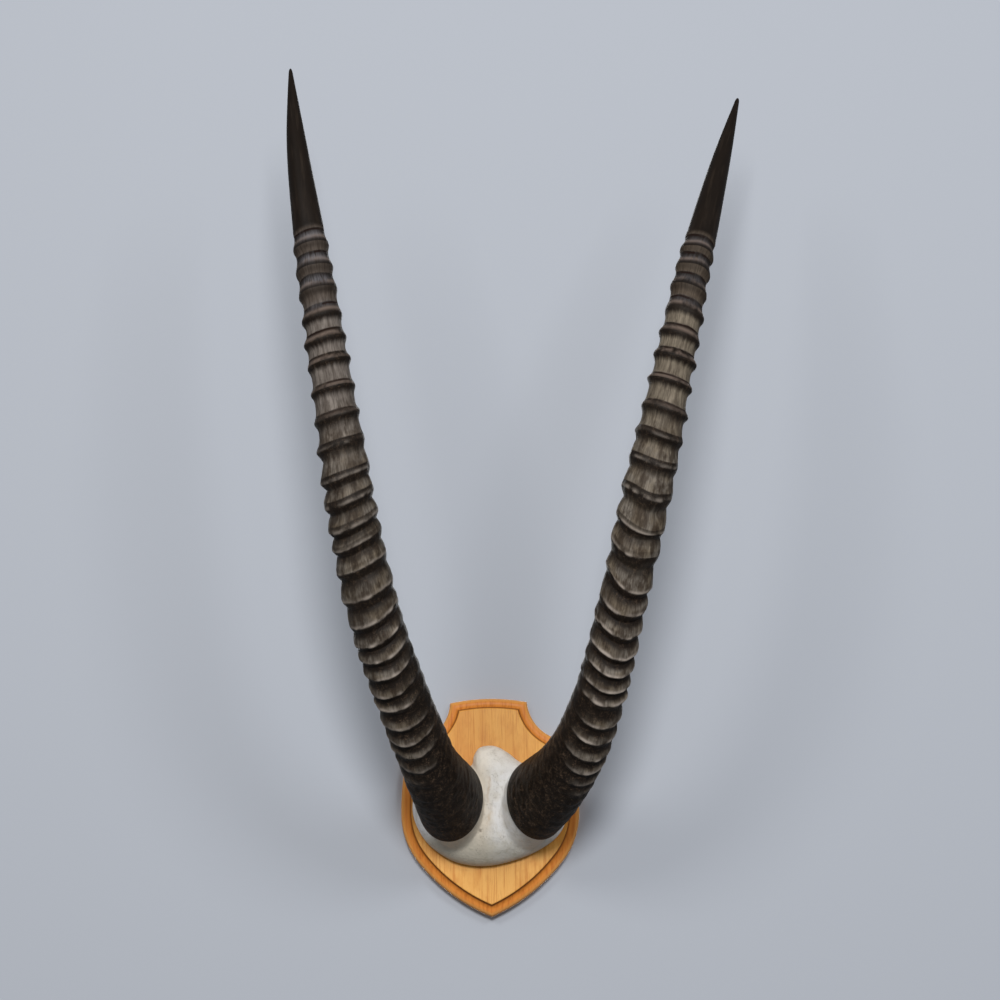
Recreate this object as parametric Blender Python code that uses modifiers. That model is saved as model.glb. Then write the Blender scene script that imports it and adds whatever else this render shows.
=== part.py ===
"""Sable antelope horn mount: two ringed horns on a cut skull plate, screwed to a shield-shaped plaque.

Metres, +Z up. The wall is the plane Y = 0 and the mount stands out from it towards -Y, so left and
right are as seen from the front. The origin is the middle of the plaque's back face.
"""
import math

import bmesh
import bpy
import numpy as np
from mathutils import Matrix, Vector

# Clearance between pieces that touch, how far a cutter runs past the face that it opens, how much
# deeper a blind bore is than what goes in it, and the distance within which points are one
GAP = 0.0003
OVERRUN = 0.002
BORE_SPARE = 0.001
MERGE_DISTANCE = 0.00001

# Plaque: a 19 mm board with its edge routed to an ogee
BOARD = 0.019
BACK_EASE = 0.0006
RIM_HEIGHT = 0.0085
BEAD_RADIUS = 0.0045
STEP_INSET = 0.0003
BAND_WIDTH = 2 * BEAD_RADIUS
OGEE_TURNS = (30, 60, 90)

# Plaque outline, right half: arcs named from the top down, with the plaque's middle at height 0
TOP_BOW_RADIUS = 0.165
TOP_HEIGHT = 0.0936
NOTCH_CENTRE = (0.070, 0.0928)
NOTCH_RADIUS = 0.0367
HALF_WIDTH = 0.077
WIDEST_HEIGHT = -0.0052
SHOULDER_RADIUS = 0.232
HIP_RADIUS = 0.068
HIP_TURN = math.radians(38)
FLANK_RADIUS = 0.154
OUTLINE_STEPS = {"top": 3, "notch": 6, "shoulder": 4, "hip": 4, "flank": 5}

# Skull plate: outline seen from the front (across, height), its rim and its crown above the board
SKULL_CENTRE = (0.0, -0.002)
SKULL_OUTLINE = (
    (-0.0665, 0.000), (-0.063, -0.017), (-0.051, -0.035), (-0.030, -0.048), (-0.005, -0.052),
    (0.020, -0.0475), (0.042, -0.0385), (0.059, -0.026), (0.067, -0.006), (0.063, 0.017),
    (0.046, 0.031), (0.0275, 0.0365), (0.0165, 0.0450), (0.0045, 0.0513), (-0.0080, 0.0505),
    (-0.0135, 0.0430), (-0.0165, 0.0335), (-0.040, 0.030), (-0.061, 0.019),
)
SKULL_RIM = 0.005
SKULL_CROWN = 0.029
CROWN_FLATNESS = 3
EDGE_ROUNDNESS = 0.55
SKULL_SPOKES = 40
SKULL_RINGS = (0.0, 0.22, 0.42, 0.6, 0.74, 0.85, 0.93, 0.98, 1.0)

# Pedicles: the stubs of bone that the horns grow on, a little narrower than the horn, run down
# through the dome to just above its back
PEDICLE_LENGTH = 0.034
PEDICLE_SHARE = 0.92
PEDICLE_OFF_BACK = 0.002
PEDICLE_SIDES = 24

# Horns: at each tenth of the length from the skull to the tip, (outwards from the middle, out from
# the wall, height, half the width across, half the depth front to back)
LEFT_ROUTE = (
    (0.0334, 0.0520, 0.0023, 0.0289, 0.0379),
    (0.0491, 0.1160, 0.0273, 0.0234, 0.0295),
    (0.0669, 0.1682, 0.0716, 0.0218, 0.0263),
    (0.0859, 0.2076, 0.1271, 0.0212, 0.0243),
    (0.1012, 0.2347, 0.1907, 0.0202, 0.0224),
    (0.1119, 0.2501, 0.2591, 0.0189, 0.0205),
    (0.1215, 0.2554, 0.3291, 0.0171, 0.0182),
    (0.1316, 0.2525, 0.3992, 0.0151, 0.0157),
    (0.1416, 0.2425, 0.4686, 0.0121, 0.0126),
    (0.1503, 0.2265, 0.5371, 0.0080, 0.0083),
    (0.1559, 0.2062, 0.6033, 0.0014, 0.0014),
)
RIGHT_ROUTE = (
    (0.0392, 0.0520, 0.0012, 0.0276, 0.0361),
    (0.0664, 0.1132, 0.0248, 0.0239, 0.0302),
    (0.0886, 0.1645, 0.0687, 0.0210, 0.0253),
    (0.1053, 0.2028, 0.1263, 0.0193, 0.0222),
    (0.1213, 0.2291, 0.1906, 0.0193, 0.0214),
    (0.1379, 0.2443, 0.2582, 0.0192, 0.0209),
    (0.1539, 0.2473, 0.3276, 0.0168, 0.0179),
    (0.1693, 0.2372, 0.3963, 0.0146, 0.0151),
    (0.1863, 0.2152, 0.4622, 0.0118, 0.0122),
    (0.2037, 0.1860, 0.5250, 0.0077, 0.0080),
    (0.2209, 0.1572, 0.5852, 0.0016, 0.0016),
)
# Where each ring's lip lies along the front of the horn, in millimetres from the skull
LEFT_RINGS = (
    63, 82, 95, 110, 123, 138, 156, 168, 185, 200, 214, 229, 250, 273,
    293, 307, 325, 344, 369, 392, 415, 437, 455, 475, 497, 516, 536,
)
RIGHT_RINGS = (
    74, 84, 96, 109, 125, 140, 159, 170, 185, 200, 217, 235, 253, 281,
    302, 326, 352, 375, 397, 420, 441, 460, 481, 501, 520, 537,
)
HORN_SIDES = 16
LENGTH_SAMPLES = 400
TANGENT_REACH = 0.002
LIP_HEIGHT = 0.0016
GROOVE_DEPTH = 0.0014
GROOVE_BELOW_LIP = 0.0035
SHOULDER_SHARE = 0.5
RINGS_FADE_IN = (0.045, 0.120)
FADE_SHARES = (0.25, 1.0)
RING_FRONT = math.radians(45)
RINGS_EVEN_OUT = (0.150, 0.300)
RINGS_INNER_SHARE = (0.3, 0.85)
RING_TILT = math.tan(math.radians(6))
TILT_FADE_IN = 0.060
PLAIN_BASE_ROWS = (0.0, 0.012, 0.026, 0.040)
TIP_ROWS = (0.24, 0.44, 0.60, 0.74, 0.85, 0.93, 0.975)
TIP_TUCK = 0.0015

# Screws through the board into the skull
SCREW_HEIGHTS = {"upper": 0.030, "lower": -0.032}
SCREW_SHANK = 0.0021
SCREW_HEAD = 0.0042
SCREW_HEAD_RIM = 0.0004
SCREW_HEAD_DEPTH = 0.0030
SCREW_SUNK = 0.0006
SCREW_LENGTH = 0.031
SCREW_POINT = 0.004
SCREW_POINT_RADIUS = 0.0003
SLOT_WIDTH = 0.0010
SLOT_DEPTH = 0.0011
SCREW_SIDES = 16

# Sawtooth hanger in a shallow recess near the top of the back
HANGER_HEIGHT = 0.064
HANGER_LENGTH = 0.046
HANGER_WIDTH = 0.009
HANGER_SHEET = 0.0008
HANGER_RISE = 0.0014
HANGER_FLAT_END = 0.009
HANGER_BEND = 0.003
RECESS_MARGIN = 0.004
RECESS_DEPTH = 0.0042
TOOTH_PITCH = 0.0028
TOOTH_DEPTH = 0.0016
TOOTH_COUNT = 7
TOOTH_GAP_SHARE = 0.96
TOOTH_GAP_WAIST = 0.9

# Nails: the head's dome from its top down, as shares of its radius and of its height, and the rest
NAIL_ACROSS = 0.0185
NAIL_SHANK = 0.0007
NAIL_HEAD = 0.0019
NAIL_DOME = 0.0009
NAIL_DOME_PROFILE = ((0.5, 1.0), (0.87, 0.6), (1.0, 0.15))
NAIL_LENGTH = 0.011
NAIL_POINT = 0.002
NAIL_POINT_RADIUS = 0.0002
NAIL_SIDES = 12

# Colours (red, green, blue, alpha), roughness and metallic
FINISHES = {
    "wood": ((0.62, 0.33, 0.13, 1.0), 0.42, 0.0),
    "bone": ((0.66, 0.61, 0.52, 1.0), 0.70, 0.0),
    "horn": ((0.035, 0.027, 0.021, 1.0), 0.50, 0.0),
    "zinc": ((0.55, 0.55, 0.56, 1.0), 0.35, 1.0),
    "brass": ((0.60, 0.45, 0.20, 1.0), 0.35, 1.0),
}


def empty_the_file():
    """Remove every object that the file opens with."""
    for thing in list(bpy.data.objects):
        bpy.data.objects.remove(thing, do_unlink=True)


def new_collection(name):
    """Make a collection under the scene."""
    group = bpy.data.collections.new(name)
    bpy.context.scene.collection.children.link(group)
    return group


def finish_material(name):
    """One Principled material from the finishes above."""
    colour, roughness, metallic = FINISHES[name]
    material = bpy.data.materials.new(name)
    material.use_nodes = True
    shader = material.node_tree.nodes["Principled BSDF"]
    shader.inputs["Base Color"].default_value = colour
    shader.inputs["Roughness"].default_value = roughness
    shader.inputs["Metallic"].default_value = metallic
    material.diffuse_color = colour
    return material


def add_object(name, shape, group, finish=None):
    """Put a mesh or bmesh into the scene as one named object."""
    if isinstance(shape, bmesh.types.BMesh):
        bmesh.ops.recalc_face_normals(shape, faces=shape.faces)
        mesh = bpy.data.meshes.new(name)
        shape.to_mesh(mesh)
        shape.free()
    else:
        mesh = shape
    thing = bpy.data.objects.new(name, mesh)
    group.objects.link(thing)
    if finish:
        mesh.materials.append(finish_material(finish))
    return thing


def smooth_shading(thing, angle=30):
    """Shade a curved piece smooth, with its hard edges kept sharp."""
    thing.data.shade_smooth()
    thing.data.set_sharp_from_angle(angle=math.radians(angle))


def make_cutter(thing):
    """Keep a cutter out of the picture."""
    thing.hide_render = True
    thing.display_type = "WIRE"
    return thing


def cut(thing, cutter, operation="DIFFERENCE"):
    """Add a Boolean that reads one other object."""
    boolean = thing.modifiers.new(cutter.name, "BOOLEAN")
    boolean.operation = operation
    boolean.solver = "EXACT"
    boolean.object = cutter


def loft(rows, cap_start=True, cap_end=True):
    """Skin between closed rows of points that all have the same count."""
    shape = bmesh.new()
    rings = [[shape.verts.new(point) for point in row] for row in rows]
    for lower, upper in zip(rings, rings[1:]):
        for side in range(len(lower)):
            after = (side + 1) % len(lower)
            shape.faces.new((lower[side], lower[after], upper[after], upper[side]))
    if cap_start:
        shape.faces.new(reversed(rings[0]))
    if cap_end:
        shape.faces.new(rings[-1])
    return shape


def close_to_point(shape, row, point):
    """Close a row of bmesh vertices with a fan to one point."""
    tip = shape.verts.new(point)
    for side in range(len(row)):
        shape.faces.new((row[side], row[(side + 1) % len(row)], tip))


def arc(centre, radius, start, end, steps):
    """Points of a circular arc, without its last one."""
    angles = np.linspace(start, end, steps + 1)[:-1]
    return [(centre[0] + radius * math.cos(a), centre[1] + radius * math.sin(a)) for a in angles]


def circles_meet(centre_a, radius_a, centre_b, radius_b, pick):
    """The point, of the two where circles cross, that is highest under pick."""
    a = Vector(centre_a)
    b = Vector(centre_b)
    between = b - a
    along = (radius_a ** 2 - radius_b ** 2 + between.length_squared) / (2 * between.length)
    off = math.sqrt(radius_a ** 2 - along ** 2)
    direction = between.normalized()
    normal = Vector((-direction.y, direction.x))
    return max((a + direction * along + normal * s * off for s in (-1, 1)), key=pick)


def angle_from(centre, point):
    """Direction from a centre to a point."""
    return math.atan2(point[1] - centre[1], point[0] - centre[0])


def plaque_outline(inset):
    """The shield's outline moved inwards by inset: each arc keeps its centre and the corners are
    where neighbouring arcs meet, so the routed band stays the same width all round."""
    top_centre = (0.0, TOP_HEIGHT - TOP_BOW_RADIUS)
    shoulder_centre = (HALF_WIDTH - SHOULDER_RADIUS, WIDEST_HEIGHT)
    hip_centre = (HALF_WIDTH - HIP_RADIUS, WIDEST_HEIGHT)
    reach = HIP_RADIUS - FLANK_RADIUS
    flank_centre = (hip_centre[0] + reach * math.cos(HIP_TURN), hip_centre[1] - reach * math.sin(HIP_TURN))
    top_radius = TOP_BOW_RADIUS - inset
    notch_radius = NOTCH_RADIUS + inset
    shoulder_radius = SHOULDER_RADIUS - inset
    flank_radius = FLANK_RADIUS - inset
    top_corner = circles_meet(top_centre, top_radius, NOTCH_CENTRE, notch_radius, lambda p: p.y)
    side_corner = circles_meet(shoulder_centre, shoulder_radius, NOTCH_CENTRE, notch_radius, lambda p: -p.y)
    tip_drop = math.sqrt(flank_radius ** 2 - flank_centre[0] ** 2)
    tip = (0.0, flank_centre[1] - tip_drop)
    steps = OUTLINE_STEPS
    half = arc(top_centre, top_radius, math.pi / 2, angle_from(top_centre, top_corner), steps["top"])
    half += arc(NOTCH_CENTRE, notch_radius, angle_from(NOTCH_CENTRE, top_corner) % (2 * math.pi),
                angle_from(NOTCH_CENTRE, side_corner) % (2 * math.pi), steps["notch"])
    half += arc(shoulder_centre, shoulder_radius, angle_from(shoulder_centre, side_corner), 0,
                steps["shoulder"])
    half += arc(hip_centre, HIP_RADIUS - inset, 0, -HIP_TURN, steps["hip"])
    half += arc(flank_centre, flank_radius, -HIP_TURN, angle_from(flank_centre, tip), steps["flank"])
    left = [(-across, height) for across, height in half[:0:-1]]
    return half + [tip] + left


def plaque_profile():
    """The board's edge from the back to the face: (inset, distance from the wall). A straight rim, a
    convex bead, a concave cove of the same radius and a small step up to the face."""
    points = [(BACK_EASE, 0.0), (0.0, BACK_EASE), (0.0, RIM_HEIGHT)]
    turns = [math.radians(angle) for angle in OGEE_TURNS]
    for turn in turns:
        points.append((BEAD_RADIUS * (1 - math.cos(turn)), RIM_HEIGHT + BEAD_RADIUS * math.sin(turn)))
    for turn in turns:
        points.append((BEAD_RADIUS * (1 + math.sin(turn)), RIM_HEIGHT + BEAD_RADIUS * (2 - math.cos(turn))))
    points.append((BAND_WIDTH + STEP_INSET, BOARD))
    return points


def cylinder_into_board(name, radius, start, length, place, group, sides):
    """A round cutter along Y from distance start out from the wall."""
    shape = bmesh.new()
    turn = Matrix.Rotation(math.radians(90), 4, "X")
    middle = Matrix.Translation((place[0], -(start + length / 2), place[1]))
    bmesh.ops.create_cone(shape, cap_ends=True, segments=sides, radius1=radius, radius2=radius,
                          depth=length, matrix=middle @ turn)
    return make_cutter(add_object(name, shape, group))


def build_plaque(group, cutters):
    """The shield: its outline lofted through the edge profile, then bored for the fixings."""
    rows = [[(across, -out, height) for across, height in plaque_outline(inset)]
            for inset, out in plaque_profile()]
    plaque = add_object("shield_plaque", loft(rows), group, "wood")
    smooth_shading(plaque)
    recess = bmesh.new()
    size = (HANGER_LENGTH + 2 * RECESS_MARGIN, 2 * RECESS_DEPTH, HANGER_WIDTH + 2 * RECESS_MARGIN)
    bmesh.ops.create_cube(recess, size=1, matrix=Matrix.Translation((0, 0, HANGER_HEIGHT))
                          @ Matrix.Diagonal((*size, 1)))
    cut(plaque, make_cutter(add_object("hanger_recess", recess, cutters)))
    for name, height in SCREW_HEIGHTS.items():
        bore = cylinder_into_board("screw_bore_" + name, SCREW_SHANK + GAP, OVERRUN, BOARD, (0, height),
                                   cutters, SCREW_SIDES)
        cut(plaque, bore)
        sink_shape = turned_profile([
            (SCREW_HEAD + GAP, -OVERRUN), (SCREW_HEAD + GAP, SCREW_SUNK),
            (SCREW_SHANK + GAP, SCREW_SUNK + SCREW_HEAD_DEPTH + GAP),
        ])
        sink = turned_object("countersink_" + name, sink_shape, cutters, SCREW_SIDES, (0, height))
        cut(plaque, make_cutter(sink))
    for side in (-1, 1):
        place = (side * NAIL_ACROSS, HANGER_HEIGHT)
        cut(plaque, cylinder_into_board("nail_bore_" + side_name(side), NAIL_SHANK + GAP,
                                        RECESS_DEPTH - BORE_SPARE, NAIL_LENGTH, place, cutters, NAIL_SIDES))
    return plaque


def side_name(side):
    """Left is -1 and right is +1, as seen from the front."""
    return "left" if side < 0 else "right"


def turned_profile(outer):
    """Close an outer profile of (radius, distance from the wall) to the axis at both ends."""
    return [(0.0, outer[0][1])] + list(outer) + [(0.0, outer[-1][1])]


def turned_object(name, profile, group, sides, place, finish=None):
    """Turn a profile about an axis that runs out from the wall at (across, height)."""
    mesh = bpy.data.meshes.new(name)
    points = [(radius, 0.0, -out) for radius, out in profile]
    mesh.from_pydata(points, [(i, i + 1) for i in range(len(points) - 1)], [])
    thing = add_object(name, mesh, group, finish)
    turn = thing.modifiers.new("turn", "SCREW")
    turn.axis = "Z"
    turn.steps = sides
    turn.render_steps = sides
    turn.use_merge_vertices = True
    turn.merge_threshold = MERGE_DISTANCE
    thing.location = (place[0], 0.0, place[1])
    thing.rotation_euler = (math.radians(-90), 0.0, 0.0)
    return thing


def build_screws(group, cutters):
    """Countersunk slotted screws, driven from the back through the board into the skull."""
    start = SCREW_SUNK
    end = start + SCREW_LENGTH
    profile = turned_profile([
        (SCREW_HEAD, start), (SCREW_HEAD, start + SCREW_HEAD_RIM), (SCREW_SHANK, start + SCREW_HEAD_DEPTH),
        (SCREW_SHANK, end - SCREW_POINT), (SCREW_POINT_RADIUS, end),
    ])
    for name, height in SCREW_HEIGHTS.items():
        screw = turned_object("skull_screw_" + name, profile, group, SCREW_SIDES, (0, height), "zinc")
        slot = bmesh.new()
        size = (3 * SCREW_HEAD, 2 * SLOT_DEPTH, SLOT_WIDTH)
        bmesh.ops.create_cube(slot, size=1, matrix=Matrix.Translation((0, -start, height))
                              @ Matrix.Diagonal((*size, 1)))
        cut(screw, make_cutter(add_object("slot_" + name, slot, cutters)))


def strip_points():
    """The hanger's strip seen along its width, as (across, distance from the wall): flat ends on the
    recess floor and a raised middle, one sheet thick."""
    floor = RECESS_DEPTH - GAP
    half = HANGER_LENGTH / 2
    bend_start = half - HANGER_FLAT_END
    bend_end = bend_start - HANGER_BEND
    line = [(-half, 0), (-bend_start, 0), (-bend_end, HANGER_RISE), (bend_end, HANGER_RISE),
            (bend_start, 0), (half, 0)]
    inner = [(across, floor - rise) for across, rise in line]
    outer = [(across, floor - rise - HANGER_SHEET) for across, rise in line]
    return inner + outer[::-1]


def build_hanger(group, cutters):
    """A sheet-metal sawtooth hanger: the bent strip, its teeth, and a hole for each nail."""
    rows = [[(across, -out, HANGER_HEIGHT + end * HANGER_WIDTH / 2) for across, out in strip_points()]
            for end in (-1, 1)]
    hanger = add_object("sawtooth_hanger", loft(rows), group, "brass")
    low = HANGER_HEIGHT - HANGER_WIDTH / 2
    for index in range(TOOTH_COUNT):
        middle = (index - (TOOTH_COUNT - 1) / 2) * TOOTH_PITCH
        half = TOOTH_GAP_SHARE * TOOTH_PITCH / 2
        waist = TOOTH_GAP_WAIST * half
        notch = [[(middle - half, out, low - OVERRUN), (middle + half, out, low - OVERRUN),
                  (middle + waist, out, low), (middle, out, low + TOOTH_DEPTH),
                  (middle - waist, out, low)] for out in (-RECESS_DEPTH, OVERRUN)]
        cut(hanger, make_cutter(add_object("tooth_gap_%d" % index, loft(notch), cutters)))
    for side in (-1, 1):
        place = (side * NAIL_ACROSS, HANGER_HEIGHT)
        cut(hanger, cylinder_into_board("nail_hole_" + side_name(side), NAIL_SHANK + GAP, 0.0,
                                        2 * RECESS_DEPTH, place, cutters, NAIL_SIDES))
        head = RECESS_DEPTH - GAP - HANGER_SHEET - GAP
        dome = [(radius * NAIL_HEAD, head - rise * NAIL_DOME) for radius, rise in NAIL_DOME_PROFILE]
        end = head + NAIL_LENGTH
        profile = turned_profile(dome + [
            (NAIL_HEAD, head), (NAIL_SHANK, head), (NAIL_SHANK, end - NAIL_POINT), (NAIL_POINT_RADIUS, end),
        ])
        nail = turned_object("hanger_nail_" + side_name(side), profile, group, NAIL_SIDES, place, "brass")
        smooth_shading(nail)


def closed_curve(points, count):
    """Even-stepped points of a closed Catmull-Rom curve through the given ones."""
    knots = np.asarray(points, float)
    place = np.linspace(0, len(knots), count, endpoint=False)
    cell = place.astype(int)
    u = (place - cell)[:, None]
    before, start, end, after = (knots[(cell + step) % len(knots)] for step in (-1, 0, 1, 2))
    return 0.5 * (2 * start + (end - before) * u + (2 * before - 5 * start + 4 * end - after) * u ** 2
                  + (3 * start - before - 3 * end + after) * u ** 3)


def skull_rise(share):
    """Height of the bone above the board at a share of the way from its middle to its outline."""
    return SKULL_RIM + (SKULL_CROWN - SKULL_RIM) * (1 - share ** CROWN_FLATNESS) ** EDGE_ROUNDNESS


def build_skull(group, cutters):
    """The bone: a dome over the outline, with a pedicle that ends in a flat seat under each horn."""
    outline = closed_curve(SKULL_OUTLINE, SKULL_SPOKES)
    middle = np.array(SKULL_CENTRE)
    back = BOARD + GAP
    rows = [[(x, -back, z) for x, z in outline]]
    for share in SKULL_RINGS[:0:-1]:
        out = back + skull_rise(share)
        rows.append([(x, -out, z) for x, z in middle + share * (outline - middle)])
    dome = loft(rows, cap_end=False)
    dome.verts.ensure_lookup_table()
    close_to_point(dome, dome.verts[-SKULL_SPOKES:], (middle[0], -(back + skull_rise(0)), middle[1]))
    skull = add_object("skull_plate", dome, group, "bone")
    for side, route in ((-1, LEFT_ROUTE), (1, RIGHT_ROUTE)):
        centre, along, across, front, half_width, half_depth = horn_frames(route, side, np.zeros(1))
        angles = np.arange(PEDICLE_SIDES)[:, None] * 2 * math.pi / PEDICLE_SIDES
        oval = (across * half_width * np.cos(angles) + front * half_depth * np.sin(angles)) * PEDICLE_SHARE
        rows = []
        for depth in (GAP, PEDICLE_LENGTH):
            points = centre - along * depth + oval
            points[:, 1] = np.minimum(points[:, 1], -(back + PEDICLE_OFF_BACK))
            rows.append([tuple(point) for point in points])
        cut(skull, make_cutter(add_object("pedicle_" + side_name(side), loft(rows), cutters)), "UNION")
    start = BOARD - OVERRUN
    depth = SCREW_SUNK + SCREW_LENGTH + BORE_SPARE - start
    for name, height in SCREW_HEIGHTS.items():
        cut(skull, cylinder_into_board("pilot_" + name, SCREW_SHANK + GAP, start, depth, (0, height),
                                       cutters, SCREW_SIDES))
    smooth_shading(skull)
    return skull


def natural_spline(values, at):
    """Natural cubic curve through evenly spaced rows of values, read at shares 0 to 1 of its length."""
    values = np.asarray(values, float)
    count = len(values)
    matrix = np.eye(count)
    bend = np.zeros_like(values)
    for i in range(1, count - 1):
        matrix[i, i - 1:i + 2] = (1, 4, 1)
        bend[i] = 6 * (values[i - 1] - 2 * values[i] + values[i + 1])
    bend = np.linalg.solve(matrix, bend)
    place = np.clip(np.asarray(at, float), 0, 1) * (count - 1)
    cell = np.minimum(place.astype(int), count - 2)
    u = (place - cell)[:, None]
    w = 1 - u
    curve = values[cell] * w + values[cell + 1] * u
    return curve + ((w ** 3 - w) * bend[cell] + (u ** 3 - u) * bend[cell + 1]) / 6


def horn_length(route):
    """Length of the horn's centre line."""
    points = natural_spline(route, np.linspace(0, 1, LENGTH_SAMPLES))[:, :3]
    return float(np.linalg.norm(np.diff(points, axis=0), axis=1).sum())


def horn_frames(route, side, at):
    """Centres, directions and half sizes at the given shares of the horn's length: along the horn,
    outwards across it, and towards its front, which is the outside of its bend."""
    def centres(shares):
        outwards, out, height = natural_spline(route, shares)[:, :3].T
        return np.stack([side * outwards, -out, height], axis=1)

    along = centres(np.clip(at + TANGENT_REACH, 0, 1)) - centres(np.clip(at - TANGENT_REACH, 0, 1))
    along /= np.linalg.norm(along, axis=1)[:, None]
    to_right = np.array([1.0, 0.0, 0.0]) - along[:, :1] * along
    to_right /= np.linalg.norm(to_right, axis=1)[:, None]
    front = np.cross(to_right, along)
    half = natural_spline(route, at)[:, 3:]
    return centres(at), along, side * to_right, front, half[:, :1], half[:, 1:]


def horn_rows(rings, length):
    """Rows along the horn as (distance from the skull, height above the mean surface): each ring is a
    groove, a lip just above it and a shoulder, and the tip is smooth."""
    rows = [(distance, 0.0) for distance in PLAIN_BASE_ROWS]
    places = [ring / 1000 for ring in rings]
    after = places[1:] + [2 * places[-1] - places[-2]]
    for place, following in zip(places, after):
        fade = np.interp(place, RINGS_FADE_IN, FADE_SHARES)
        rows.append((place - GROOVE_BELOW_LIP, -GROOVE_DEPTH * fade))
        rows.append((place, LIP_HEIGHT * fade))
        rows.append((place + SHOULDER_SHARE * (following - place - GROOVE_BELOW_LIP), 0.0))
    last = rows[-1][0]
    rows += [(last + share * (length - last), 0.0) for share in TIP_ROWS]
    return rows


def build_horn(side, route, rings, group):
    """A horn: oval sections along its centre line, swollen into rings. A ring sits a little lower on
    the outside than on the side towards the other horn, where it also stands out less near the skull."""
    length = horn_length(route)
    rows = horn_rows(rings, length)
    distance = np.array([row[0] for row in rows])[:, None]
    relief = np.array([row[1] for row in rows])[:, None]
    centre, along, across, front, half_width, half_depth = horn_frames(route, side, distance[:, 0] / length)
    angles = np.arange(HORN_SIDES)[None, :] * 2 * math.pi / HORN_SIDES
    inner = np.interp(distance, RINGS_EVEN_OUT, RINGS_INNER_SHARE)
    weight = inner + (1 - inner) * (0.5 + 0.5 * np.cos(angles - RING_FRONT))
    sideways = (half_width + relief * weight) * np.cos(angles)
    forwards = (half_depth + relief * weight) * np.sin(angles)
    drop = -RING_TILT * sideways * np.clip(distance / TILT_FADE_IN, 0, 1)
    points = (centre[:, None] + across[:, None] * sideways[..., None] + front[:, None] * forwards[..., None]
              + along[:, None] * drop[..., None])
    shape = loft([[tuple(point) for point in row] for row in points], cap_end=False)
    shape.verts.ensure_lookup_table()
    tip_centre, tip_along = (item[0] for item in horn_frames(route, side, np.ones(1))[:2])
    close_to_point(shape, shape.verts[-HORN_SIDES:], tuple(tip_centre + tip_along * TIP_TUCK))
    horn = add_object(side_name(side) + "_horn", shape, group, "horn")
    smooth_shading(horn, 40)
    return horn


def main():
    """Build the whole mount."""
    empty_the_file()
    mount = new_collection("sable_antelope_horn_mount")
    cutters = new_collection("cutters")
    build_plaque(mount, cutters)
    build_skull(mount, cutters)
    build_horn(-1, LEFT_ROUTE, LEFT_RINGS, mount)
    build_horn(1, RIGHT_ROUTE, RIGHT_RINGS, mount)
    build_screws(mount, cutters)
    build_hanger(mount, cutters)


main()
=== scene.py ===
import math

import bmesh
import bpy
import numpy as np
from mathutils import Matrix, Vector


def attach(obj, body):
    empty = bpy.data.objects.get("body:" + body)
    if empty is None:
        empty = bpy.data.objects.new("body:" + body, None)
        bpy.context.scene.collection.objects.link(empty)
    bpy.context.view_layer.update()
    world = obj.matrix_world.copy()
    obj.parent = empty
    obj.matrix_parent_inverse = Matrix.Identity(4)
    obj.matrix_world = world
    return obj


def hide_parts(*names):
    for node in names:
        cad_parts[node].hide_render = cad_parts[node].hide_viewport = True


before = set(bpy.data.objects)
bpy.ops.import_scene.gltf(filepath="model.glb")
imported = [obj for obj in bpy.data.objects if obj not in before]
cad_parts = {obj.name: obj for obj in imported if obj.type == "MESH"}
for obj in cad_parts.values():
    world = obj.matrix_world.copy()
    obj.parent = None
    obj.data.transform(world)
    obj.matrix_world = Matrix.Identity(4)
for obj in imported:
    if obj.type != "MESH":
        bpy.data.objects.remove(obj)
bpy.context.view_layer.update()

# Dimensions shared with the solid model, in metres
GAP = 0.0003
OVERRUN = 0.002
BORE_SPARE = 0.001
BOARD = 0.019
BACK_EASE = 0.0006
RIM_HEIGHT = 0.0085
BEAD_RADIUS = 0.0045
STEP_INSET = 0.0003
BAND_WIDTH = 2 * BEAD_RADIUS
TOP_BOW_RADIUS = 0.165
TOP_HEIGHT = 0.0936
NOTCH_CENTRE = (0.070, 0.0928)
NOTCH_RADIUS = 0.0367
HALF_WIDTH = 0.077
WIDEST_HEIGHT = -0.0052
SHOULDER_RADIUS = 0.232
HIP_RADIUS = 0.068
HIP_TURN = math.radians(38)
FLANK_RADIUS = 0.154
SKULL_CENTRE = (0.0, -0.002)
SKULL_OUTLINE = (
    (-0.0665, 0.000), (-0.063, -0.017), (-0.051, -0.035), (-0.030, -0.048), (-0.005, -0.052),
    (0.020, -0.0475), (0.042, -0.0385), (0.059, -0.026), (0.067, -0.006), (0.063, 0.017), (0.046, 0.031),
    (0.0275, 0.0365), (0.0165, 0.0450), (0.0045, 0.0513), (-0.0080, 0.0505), (-0.0135, 0.0430),
    (-0.0165, 0.0335), (-0.040, 0.030), (-0.061, 0.019))
SKULL_RIM = 0.005
SKULL_CROWN = 0.029
PEDICLE_LENGTH = 0.034
PEDICLE_SHARE = 0.92
SCREW_HEIGHTS = (0.030, -0.032)
SCREW_SHANK = 0.0021
SCREW_HEAD = 0.0042
SCREW_HEAD_DEPTH = 0.0030
SCREW_SUNK = 0.0006
SCREW_LENGTH = 0.031
HANGER_HEIGHT = 0.064
HANGER_LENGTH = 0.046
HANGER_WIDTH = 0.009
RECESS_MARGIN = 0.004
RECESS_DEPTH = 0.0042
NAIL_ACROSS = 0.0185
NAIL_SHANK = 0.0007
NAIL_LENGTH = 0.011

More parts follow.
